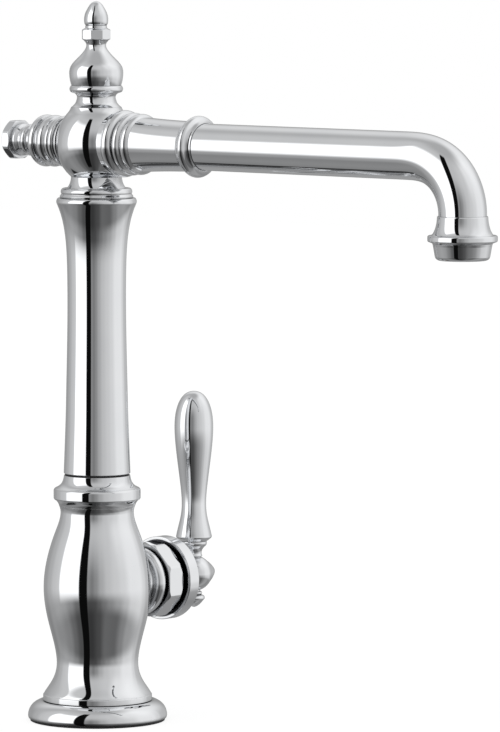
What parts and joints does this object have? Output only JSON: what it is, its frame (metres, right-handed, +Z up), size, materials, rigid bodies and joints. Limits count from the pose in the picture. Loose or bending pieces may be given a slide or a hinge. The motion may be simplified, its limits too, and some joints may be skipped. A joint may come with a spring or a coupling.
{
  "type": "bar tap",
  "caption": "Deck-mounted swivel bar tap with a baluster body, a long level spout turned down at its end, a finial on top and a side lever.",
  "frame": {"origin": "on the column's axis at the deck, which is the underside of the gasket", "axes": "+Z up along the column, -Y along the spout towards the person at the sink, +X along the lever's valve"},
  "size_m": [0.1183, 0.2911, 0.403],
  "materials": {
    "polished_chrome": "polished chrome on brass",
    "raw_brass": "machined",
    "black_rubber": "moulded rubber",
    "bearing_plastic": "moulded acetal",
    "cartridge_plastic": "moulded glass-filled plastic",
    "white_ceramic": "lapped alumina ceramic",
    "stainless_steel": "plain stainless steel",
    "outlet_plastic": "moulded plastic"
  },
  "bodies": {
    "pedestal": {"deck_gasket": "black_rubber", "base_flange": "polished_chrome", "mounting_shank": "raw_brass", "lower_body": "polished_chrome", "mixing_block": "raw_brass", "riser_tube": "raw_brass", "swivel_socket": "raw_brass", "swivel_o_rings": "black_rubber", "body_collar": "polished_chrome", "swivel_bush": "bearing_plastic", "thrust_washer": "black_rubber", "bonnet_nut": "polished_chrome", "cartridge_shell": "cartridge_plastic", "port_seals": "black_rubber", "fixed_ceramic_disc": "white_ceramic"},
    "mixer": {"cartridge_carrier": "bearing_plastic", "stem_pivot_pin": "stainless_steel"},
    "slider": {"moving_ceramic_disc": "white_ceramic", "disc_slider": "bearing_plastic"},
    "handle": {"cartridge_stem": "raw_brass", "handle_disc": "polished_chrome", "handle_hub": "polished_chrome", "handle_set_screw": "stainless_steel", "lever_ferrule": "polished_chrome", "lever": "polished_chrome", "lower_knob": "polished_chrome"},
    "spout": {"swivel_spigot": "raw_brass", "swivel_clip": "stainless_steel", "water_tube": "raw_brass", "water_tube_o_rings": "black_rubber", "column_tube": "polished_chrome", "neck_ring": "polished_chrome", "ball_tee": "polished_chrome", "finial_base": "polished_chrome", "finial_bulb": "polished_chrome", "finial_nut": "polished_chrome", "finial_tip": "polished_chrome", "spout_collar": "polished_chrome", "spout_o_ring": "black_rubber", "spout_sleeve": "polished_chrome", "spout_bead": "polished_chrome", "spout_tube": "polished_chrome", "outlet_ferrule": "polished_chrome", "aerator_shell": "polished_chrome", "aerator_insert": "outlet_plastic", "aerator_screen": "stainless_steel", "aerator_washer": "black_rubber", "back_collar": "polished_chrome", "back_plug_o_ring": "black_rubber", "back_plug": "polished_chrome"}
  },
  "joints": [
    {"name": "spout_swivel", "type": "hinge", "parent": "pedestal", "child": "spout", "pos_m": [0, 0, 0.118], "axis": [0, 0, 1], "continuous": true},
    {"name": "handle_turn", "type": "hinge", "parent": "pedestal", "child": "mixer", "pos_m": [0.033, 0, 0.064], "axis": [1, 0, 0], "range_deg": [-45, 45]},
    {"name": "handle_tilt", "type": "hinge", "parent": "mixer", "child": "handle", "pos_m": [0.033, 0, 0.064], "axis": [0, 1, 0], "range_deg": [0, 20]},
    {"name": "disc_slide", "type": "slide", "parent": "mixer", "child": "slider", "axis": [0, 0, 1], "range_m": [0, 0.003]}
  ],
  "couplings": [
    {"joint": "disc_slide", "follows": "handle_tilt", "m_per_rad": 0.0075}
  ]
}
